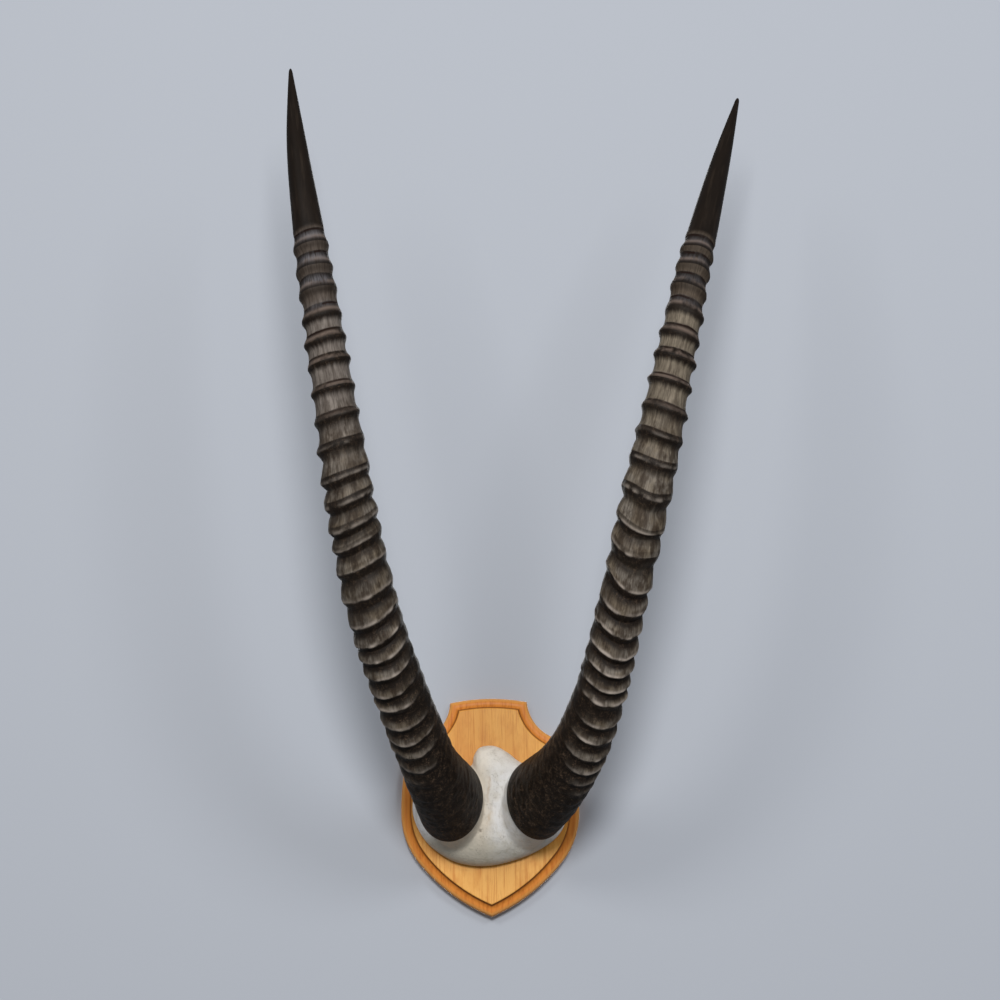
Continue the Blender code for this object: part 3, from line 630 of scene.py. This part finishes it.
class Paint:
    """A procedural material."""

    def __init__(self, name):
        self.material = bpy.data.materials.new(name)
        self.material.use_nodes = True
        self.tree = self.material.node_tree
        self.shader = self.tree.nodes["Principled BSDF"]

    def node(self, kind, settings=None, inputs=None):
        """One node: its settings first, then its inputs by name or number."""
        made = self.tree.nodes.new(kind)
        for name, value in (settings or {}).items():
            setattr(made, name, value)
        for name, value in (inputs or {}).items():
            self.feed(made.inputs[name], value)
        return made

    def feed(self, socket, value):
        """Link a value to a socket, or set it there if it is a plain number."""
        if isinstance(value, Value):
            self.tree.links.new(value.socket, socket)
        else:
            socket.default_value = value

    def maths(self, operation, *numbers):
        """One step of arithmetic."""
        made = self.node("ShaderNodeMath", {"operation": operation}, dict(enumerate(numbers)))
        return Value(self, made.outputs[0])

    def attribute(self, name):
        """Three numbers kept at the mesh's vertices, apart and as a vector."""
        made = self.node("ShaderNodeAttribute", {"attribute_name": name})
        whole = Value(self, made.outputs["Vector"])
        return (*self.split(whole), whole)

    def position(self):
        """Where a point is on the object, apart and as a vector."""
        whole = Value(self, self.node("ShaderNodeTexCoord").outputs["Object"])
        return (*self.split(whole), whole)

    def split(self, vector):
        """A vector's three numbers."""
        made = self.node("ShaderNodeSeparateXYZ", inputs={0: vector})
        return tuple(Value(self, socket) for socket in made.outputs)

    def stretch(self, vector, scales):
        """A vector multiplied axis by axis."""
        made = self.node("ShaderNodeVectorMath", {"operation": "MULTIPLY"}, {0: vector, 1: scales})
        return Value(self, made.outputs["Vector"])

    def noise(self, vector, scale, detail, roughness, distortion=0.0):
        """Smooth noise from 0 to 1."""
        made = self.node("ShaderNodeTexNoise", inputs={
            "Vector": vector, "Scale": scale, "Detail": detail, "Roughness": roughness,
            "Distortion": distortion})
        return Value(self, made.outputs["Fac"])

    def cells(self, vector, scale):
        """Distance to the nearest of many scattered points."""
        made = self.node("ShaderNodeTexVoronoi", inputs={"Vector": vector, "Scale": scale})
        return Value(self, made.outputs["Distance"])

    def ramp(self, value, low, high, start=0.0, end=1.0):
        """An S curve from start at low to end at high."""
        made = self.node("ShaderNodeMapRange", {"interpolation_type": "SMOOTHSTEP"},
                         {"Value": value, "From Min": low, "From Max": high, "To Min": start, "To Max": end})
        return Value(self, made.outputs["Result"])

    def bell(self, value, middle, width):
        """A bell curve of height one."""
        share = (value - middle) / width
        return self.maths("EXPONENT", share * share * -1.0)

    def mix(self, share, start, end):
        """From one colour to another."""
        made = self.node("ShaderNodeMix", {"data_type": "RGBA"})
        self.feed(made.inputs["Factor"], share)
        for socket, value in ((made.inputs[6], start), (made.inputs[7], end)):
            self.feed(socket, value if isinstance(value, Value) else (*value, 1.0))
        return Value(self, made.outputs[2])

    def bump(self, height, distance):
        """Relief too fine for the mesh, as height times a distance in metres."""
        made = self.node("ShaderNodeBump", inputs={"Distance": distance, "Height": height})
        self.feed(self.shader.inputs["Normal"], Value(self, made.outputs["Normal"]))

    def finish(self, colour, roughness, **plain):
        """Wire the shader: colour and roughness may vary, and the rest are plain numbers."""
        self.feed(self.shader.inputs["Base Color"], colour if isinstance(colour, Value) else (*colour, 1.0))
        self.feed(self.shader.inputs["Roughness"], roughness)
        for name, value in plain.items():
            self.shader.inputs[name.replace("_", " ")].default_value = value
        return self.material


def horn_paint(name, last_lip, paleness_and_painted_light, upper_band, swell_reflection_share):
    """Dark horn. Between rings it is streaked olive brown and grey; the grooves are near black, as painted
    shade under each lip, and the band colour shows only where painted light falls on the ring. Each ring has
    a pale line, partly a painted highlight, over a reddish crack darkened further by painted shade; the lips
    are paler with wear and a painted highlight, the upper shelves carry a painted highlight, and the top
    swellings a painted grey reflection at the front. The base and tip are almost black. The two horns differ
    in how pale they are and how strongly their painted light shows, in the colour of their upper bands, and
    in the share of painted grey reflection on the swellings of their top rings."""
    p = Paint(name)
    _, front_side, distance, place = p.attribute("place")
    cosine, sine, gap, _ = p.attribute("ring")
    strength, height, lump, _ = p.attribute("shape")
    phase = p.maths("FRACT", p.maths("ARCTAN2", sine, cosine) / (2 * math.pi) + 1.0)
    above = phase * gap * 1000.0
    below = (1.0 - phase) * gap * 1000.0
    upper = p.ramp(distance, 0.25, 0.34)
    ringed = p.ramp(strength, p.ramp(distance, 0.12, 0.26, 0.30, 0.08),
                    p.ramp(distance, 0.12, 0.26, 0.90, 0.55))
    streaks = p.noise(p.stretch(place, (1.0, 1.0, 0.10)), 900.0, 4.0, 0.6)
    coarse_streaks = p.noise(p.stretch(place, (1.0, 1.0, 0.16)), 330.0, 3.0, 0.5)
    mottles = p.noise(p.stretch(place, (1.0, 1.0, 0.55)), 170.0, 4.0, 0.6)
    clouds = p.noise(place, 60.0, 3.0, 0.55)
    spots = p.noise(place, 260.0, 3.0, 0.6)
    grains = p.noise(place, 1400.0, 3.0, 0.65)
    wander = (p.noise(place, 36.0, 1.0, 0.5) - 0.5) * 6.0

    dark = p.mix(clouds, (0.0050, 0.0036, 0.0028), (0.0120, 0.0078, 0.0052))
    speckle = p.ramp(spots * 0.35 + grains * 0.65, 0.52, 0.63) * p.ramp(distance, 0.42, 0.52, 1.0, 0.0)
    dark = p.mix(speckle * p.ramp(distance, 0.08, 0.20, 1.0, 0.5), dark, (0.085, 0.056, 0.036))
    olive = p.mix(p.ramp(clouds, 0.35, 0.65), (0.155, 0.124, 0.088), (0.196, 0.172, 0.144))
    olive = p.mix(p.ramp(distance, 0.32, 0.42), olive, upper_band)
    top_rings = p.ramp(distance, 0.470, 0.495)
    olive = p.mix(top_rings * 0.8, olive, (0.052, 0.037, 0.027))
    streaked = p.ramp(streaks * 0.65 + coarse_streaks * 0.35, 0.38, 0.60)
    mottle = p.ramp(mottles, 0.36, 0.60) * p.ramp(p.noise(place, 42.0, 2.0, 0.5), 0.30, 0.55, 0.35, 1.0)
    fresh = p.ramp(distance, 0.36, 0.44)
    band = p.mix(streaked * 0.60 + 0.40, (0.022, 0.015, 0.010), olive)
    band = p.mix((1.0 - mottle) * (0.80 - fresh * 0.50), band, (0.024, 0.015, 0.009))
    crack_place = p.ramp(distance, 0.42, 0.53, 3.6, 11.5)
    from_crack = above + wander * p.ramp(distance, 0.40, 0.50, 0.25, 0.5) - crack_place
    groove_width = p.ramp(distance, 0.14, 0.24, 5.0, 14.0) - p.ramp(distance, 0.36, 0.44, 0.0, 6.2)
    dark_reach = p.ramp(distance, 0.16, 0.26, 0.6, 2.4)
    # Painted shade: near black under each lip and down into its groove.
    groove_shade = 1.0 - p.ramp(below + (coarse_streaks - 0.5) * 4.0, dark_reach, groove_width)
    groove_shade = groove_shade * p.ramp(distance, 0.475, 0.510, 1.0, 0.40)
    # Painted light: the band colour shows where each ring faces up and out, and the horn's dark colour
    # elsewhere; the horn's paleness also sets how strong this painted light is.
    lit_upper = p.ramp(from_crack, 0.3, 1.6) * (1.0 - groove_shade)
    lit_lower = p.ramp(height, -0.50, 0.85) * (1.0 - groove_shade)
    lit = (lit_upper * upper + lit_lower * (1.0 - upper)) * ringed * paleness_and_painted_light
    colour = p.mix(lit, dark, band)
    # Paler lips: worn edges and a painted highlight along each lip, faded along the horn.
    lip_wear_and_highlight = p.bell(above, 0.4, 1.5) + p.bell(below, 0.0, 0.8)
    ridge_share = p.ramp(lump * 0.7 + spots * 0.9 + grains * 0.4, 0.20, 1.15) * ringed * paleness_and_painted_light
    wear_and_highlight_reach = p.ramp(distance, 0.19, 0.29, 1.0, 0.45) * p.ramp(distance, 0.32, 0.41, 1.0, 0.0)
    colour = p.mix(lip_wear_and_highlight * ridge_share * wear_and_highlight_reach, colour, (0.340, 0.292, 0.250))
    # Painted highlight: a pinkish-grey shelf just above each upper lip.
    shelf_highlight = p.bell(above, crack_place * 0.45, 1.9) * fresh * ringed * p.ramp(clouds + spots * 0.3, 0.40, 0.70)
    colour = p.mix(shelf_highlight * 0.85, colour, (0.128, 0.096, 0.078))
    # Painted reflection: grey on the front of the top rings' swellings.
    swell = p.bell(above, 6.5, 3.5) * top_rings * ringed * p.ramp(streaks, 0.28, 0.62)
    swell = swell * p.ramp(front_side, 0.008, 0.020, 0.12, 1.0)
    colour = p.mix(swell * swell_reflection_share, colour, (0.135, 0.130, 0.140))
    # Pale line over the crack: the horn's own pale edge and a painted highlight where the lip catches light.
    line = p.bell(from_crack, 1.2, 0.8) * fresh * ringed * p.ramp(spots + grains * 0.5, 0.65, 1.0)
    colour = p.mix(line * p.ramp(distance, 0.45, 0.50, 0.5, 0.1), colour, (0.20, 0.165, 0.135))
    # Reddish crack: its own dark colour and the painted shade inside it.
    crack = p.bell(from_crack, -0.3, 0.6) * fresh * ringed * p.ramp(clouds, 0.38, 0.52)
    colour = p.mix(crack, colour, (0.014, 0.006, 0.004))
    tip = p.ramp(distance, last_lip, last_lip + 0.03)
    brown = p.ramp(p.noise(p.stretch(place, (1.0, 1.0, 0.25)), 120.0, 3.0, 0.6), 0.50, 0.72)
    colour = p.mix(tip * brown * 0.4, colour, (0.028, 0.020, 0.014))
    roughness = 0.50 + lit * 0.12 + (grains - 0.5) * 0.20 - tip * 0.04
    relief = streaks * 0.5 * ringed + grains * (0.50 - tip * 0.46) + spots * 0.5 * (1.0 - tip)
    relief = relief + line * 0.6 - crack * 1.4
    p.bump(relief, 0.0006)
    return p.finish(colour, roughness, Specular_IOR_Level=0.10)


def wood_paint():
    """Honey-stained board under a thin satin varnish: upright grain in fine dark lines and broad bands,
    darker stain on the routed edge with a painted highlight along its outer rim, painted shade along the step
    beside the face, the face painted lighter towards the bottom as painted light, and bare wood on the back
    and inside its recess and bores."""
    p = Paint("honey_stained_board")
    x, y, z, where = p.position()
    inset, _, _, _ = p.attribute("edge")
    bands = p.noise(p.stretch(where, (1.0, 1.0, 0.05)), 60.0, 3.0, 0.5, 0.4)
    lines = p.noise(p.stretch(where, (1.0, 0.8, 0.018)), 520.0, 4.0, 0.65, 0.2)
    pores = p.noise(p.stretch(where, (1.0, 1.0, 0.05)), 1700.0, 2.0, 0.6)
    blotches = p.noise(p.stretch(where, (1.0, 1.0, 0.45)), 75.0, 4.0, 0.6)
    face = p.mix(p.ramp(bands, 0.32, 0.70), (0.580, 0.255, 0.043), (0.655, 0.320, 0.064))
    # Painted light: the face is lighter towards the bottom.
    face = p.mix(p.ramp(z, -0.060, 0.010, 1.0, 0.0) * 0.7, face, (0.700, 0.375, 0.100))
    face = p.mix(p.ramp(blotches, 0.46, 0.66) * 0.50, face, (0.500, 0.190, 0.027))
    face = p.mix(p.ramp(lines, 0.50, 0.66) * 0.65, face, (0.450, 0.155, 0.022))
    face = p.mix(p.ramp(pores, 0.56, 0.74) * 0.45, face, (0.320, 0.105, 0.017))
    on_face = p.ramp(y, -0.0187, -0.0184, 1.0, 0.0)
    edge = p.mix(p.ramp(lines, 0.40, 0.70), (0.58, 0.205, 0.034), (0.44, 0.135, 0.020))
    # Painted highlight along the outer rim of the routed edge.
    rim_highlight = p.bell(inset * 1000.0, 1.2, 1.5)
    edge = p.mix(rim_highlight * 0.55, edge, (0.70, 0.36, 0.11))
    # Painted shade: a dark line along the step beside the face.
    step = p.bell(inset * 1000.0, BAND_WIDTH * 1000.0 - 0.4, 0.9)
    edge = p.mix(step * 0.80, edge, (0.15, 0.045, 0.010))
    colour = p.mix(on_face, edge, face)
    inside = p.ramp(p.maths("ABSOLUTE", x), 0.029, 0.030, 1.0, 0.0) * p.ramp(z, -0.050, -0.048)
    inside = inside * p.ramp(z, 0.078, 0.080, 1.0, 0.0) * p.ramp(y, -0.0062, -0.0055)
    bare = p.maths("MAXIMUM", p.ramp(y, -0.0004, 0.0), inside)
    raw_wood = p.mix(p.ramp(lines, 0.45, 0.72) * 0.6, (0.52, 0.34, 0.18), (0.34, 0.19, 0.08))
    colour = p.mix(bare, colour, raw_wood)
    roughness = 0.40 + (lines - 0.5) * 0.15 + bare * 0.30
    p.bump(lines * 0.6 + pores * 0.5, 0.00012)
    return p.finish(colour, roughness, Specular_IOR_Level=0.12, Coat_Weight=0.02, Coat_Roughness=0.30)


def bone_paint():
    """Dry bone: warm beige on one side of the middle seam and cool white on the other, whiter at the top
    and at the outer sides as painted light, greyer low down with stain and painted shade, with fine pores."""
    p = Paint("dry_bone")
    x, _, z, where = p.position()
    clouds = p.noise(where, 70.0, 4.0, 0.55)
    fine = p.noise(where, 420.0, 4.0, 0.6)
    upright = p.noise(p.stretch(where, (1.0, 1.0, 0.15)), 600.0, 3.0, 0.6)
    warm_side = p.ramp(x + (clouds - 0.5) * 0.02, -0.006, 0.006, 1.0, 0.0)
    colour = p.mix(warm_side, (0.665, 0.655, 0.640), (0.590, 0.525, 0.430))
    # Painted light: the top of the bone is whiter.
    colour = p.mix(p.ramp(z, 0.020, 0.046) * 0.8, colour, (0.82, 0.76, 0.67))
    colour = p.mix(p.ramp(clouds, 0.46, 0.68) * 0.45, colour, (0.50, 0.45, 0.365))
    # Greyer low down: a stain and painted shade where the bone slopes down towards the board.
    low = p.ramp(z + (clouds - 0.5) * 0.02, -0.044, -0.018, 1.0, 0.0)
    colour = p.mix(low * 0.70, colour, (0.37, 0.345, 0.28))
    stain = p.ramp(p.noise(where, 190.0, 3.0, 0.6), 0.52, 0.72) * low
    colour = p.mix(stain * 0.45, colour, (0.27, 0.26, 0.19))
    # Painted light: the outer sides are whiter, as if lit from the sides.
    sides = p.ramp(p.maths("ABSOLUTE", x), 0.036, 0.054) * p.ramp(z, -0.034, -0.020)
    colour = p.mix(sides * 0.8, colour, (0.86, 0.86, 0.87))
    grime = p.ramp(p.noise(p.stretch(where, (1.0, 1.0, 0.4)), 210.0, 4.0, 0.65), 0.48, 0.68)
    colour = p.mix(grime * p.ramp(z, -0.040, 0.030, 0.50, 0.22), colour, (0.40, 0.36, 0.29))
    seam = x + 0.0010 + p.maths("SINE", z * 260.0) * 0.0011
    seam = (seam + p.maths("SINE", z * 1100.0 + 1.0) * 0.0004) * 1000.0
    seam_reach = p.ramp(z, -0.026, -0.012) * p.ramp(z, 0.018, 0.032, 1.0, 0.0)
    brown = p.bell(seam, 0.0, 1.3) * seam_reach * p.ramp(upright, 0.35, 0.65)
    colour = p.mix(brown * 0.6, colour, (0.42, 0.30, 0.19))
    pores = 1.0 - p.ramp(p.cells(where, 650.0), 0.10, 0.26)
    pores = pores * p.ramp(clouds, 0.40, 0.62)
    colour = p.mix(pores * 0.35, colour, (0.30, 0.25, 0.18))
    pit_x = (x + 0.0085) * 1000.0
    pit_z = (z + 0.0235) * 1000.0
    pit = p.maths("EXPONENT", (pit_x * pit_x + pit_z * pit_z) * -0.8)
    colour = p.mix(pit * 0.85, colour, (0.14, 0.11, 0.085))
    p.bump(fine * 0.7 + upright * 0.4 - pores * 0.8 + clouds * 0.8, 0.0007)
    return p.finish(colour, 0.56 + (fine - 0.5) * 0.2, Specular_IOR_Level=0.35)


def metal_paint(name, pale, dull, roughness):
    """Plated metal, a little dulled in clouds and brushed by fine scratches."""
    p = Paint(name)
    _, _, _, where = p.position()
    clouds = p.noise(where, 300.0, 4.0, 0.6)
    scratches = p.noise(p.stretch(where, (1.0, 1.0, 0.1)), 4000.0, 2.0, 0.6)
    colour = p.mix(p.ramp(clouds, 0.40, 0.70), pale, dull)
    p.bump(scratches, 0.00002)
    return p.finish(colour, roughness + (clouds - 0.5) * 0.3, Metallic=1.0)


def stage_paint(name, colour):
    """A plain matt surface that can only be seen from its front."""
    p = Paint(name)
    p.finish(colour, 0.9, Specular_IOR_Level=0.1)
    see_through = p.node("ShaderNodeBsdfTransparent")
    facing = p.node("ShaderNodeNewGeometry")
    mixed = p.node("ShaderNodeMixShader", inputs={0: Value(p, facing.outputs["Backfacing"])})
    p.tree.links.new(p.shader.outputs[0], mixed.inputs[1])
    p.tree.links.new(see_through.outputs[0], mixed.inputs[2])
    p.tree.links.new(mixed.outputs[0], p.tree.nodes["Material Output"].inputs["Surface"])
    return p.material


def stage_sheet(name, corners, material):
    """A flat stage surface that the camera sees and that shades nothing."""
    mesh = bpy.data.meshes.new(name)
    mesh.from_pydata(corners, [], [(0, 1, 2, 3)])
    mesh.materials.append(material)
    sheet = bpy.data.objects.new(name, mesh)
    bpy.context.collection.objects.link(sheet)
    sheet.visible_shadow = False
    sheet.visible_diffuse = False
    sheet.visible_glossy = False


def soft_light(name, place, size, power, colour, aim):
    """A large soft lamp turned towards the mount."""
    data = bpy.data.lights.new(name, "AREA")
    data.shape = "DISK"
    data.size = size
    data.energy = power
    data.color = colour
    lamp = bpy.data.objects.new(name, data)
    bpy.context.collection.objects.link(lamp)
    lamp.location = place
    lamp.rotation_euler = (Vector(aim) - Vector(place)).to_track_quat("-Z", "Y").to_euler()
    lamp.visible_camera = False


def set_up_stage():
    """Pale wall and floor, soft lamps at both sides, in front and behind, and an even pale surround."""
    stage_sheet("wall", [(-ROOM_REACH, WALL_OFFSET, FLOOR_HEIGHT), (ROOM_REACH, WALL_OFFSET, FLOOR_HEIGHT),
                         (ROOM_REACH, WALL_OFFSET, ROOM_REACH), (-ROOM_REACH, WALL_OFFSET, ROOM_REACH)],
                stage_paint("pale_wall", (0.365, 0.387, 0.428)))
    stage_sheet("floor", [(-ROOM_REACH, -ROOM_DEPTH, FLOOR_HEIGHT), (ROOM_REACH, -ROOM_DEPTH, FLOOR_HEIGHT),
                          (ROOM_REACH, ROOM_DEPTH, FLOOR_HEIGHT), (-ROOM_REACH, ROOM_DEPTH, FLOOR_HEIGHT)],
                stage_paint("pale_floor", (0.40, 0.40, 0.41)))
    middle = (0.0, -0.1, 0.27)
    soft_light("left_lamp", (-1.30, -2.60, 1.50), 0.9, 24.0, (1.0, 0.985, 0.96), middle)
    soft_light("right_lamp", (1.35, -2.60, 1.45), 0.9, 24.0, (0.97, 0.985, 1.0), middle)
    soft_light("front_lamp", (0.05, -3.20, 0.85), 0.7, 74.0, (1.0, 0.99, 0.98), middle)
    soft_light("back_lamp", (0.0, 3.0, 1.0), 2.6, 60.0, (1.0, 1.0, 1.0), middle)
    world = bpy.data.worlds.new("surround")
    world.use_nodes = True
    world.node_tree.nodes["Background"].inputs["Color"].default_value = (0.92, 0.95, 1.0, 1.0)
    world.node_tree.nodes["Background"].inputs["Strength"].default_value = 0.24
    bpy.context.scene.world = world
    bpy.context.scene.view_settings.view_transform = "Standard"


def main():
    """Build every piece, its stage and its light."""
    camera_at(aim=(0.0131, 0.0, 0.270), distance=3.0, elevation=-9.5, roll=-1.0, lens=122.73)
    add_piece("shield_board", board_mesh(), wood_paint(), ["shield_plaque"])
    add_piece("skull_bone", bone_mesh(), bone_paint(), ["skull_plate"])
    left = horn_mesh("horn_left", -1, LEFT_ROUTE, LEFT_RINGS, 11, LEFT_SLANT, LEFT_SAGS, LEFT_KINKS)
    right = horn_mesh("horn_right", 1, RIGHT_ROUTE, RIGHT_RINGS, 31, RIGHT_SLANT, RIGHT_SAGS, RIGHT_KINKS)
    left_paint = horn_paint("left_horn_sheath", LEFT_RINGS[-1] / 1000, 0.88, (0.192, 0.166, 0.146), 0.65)
    right_paint = horn_paint("right_horn_sheath", RIGHT_RINGS[-1] / 1000, 1.1, (0.180, 0.150, 0.112), 0.30)
    add_piece("horn_left", left, left_paint, ["left_horn"])
    add_piece("horn_right", right, right_paint, ["right_horn"])
    zinc = metal_paint("zinc_plate", (0.60, 0.60, 0.61), (0.42, 0.42, 0.43), 0.35)
    brass = metal_paint("brass_plate", (0.66, 0.50, 0.24), (0.46, 0.33, 0.14), 0.38)
    plated = {"skull_screw_upper": zinc, "skull_screw_lower": zinc, "sawtooth_hanger": brass,
              "hanger_nail_left": brass, "hanger_nail_right": brass}
    for name, material in plated.items():
        for slot in bpy.data.objects[name].material_slots:
            slot.material = material
    set_up_stage()


main()
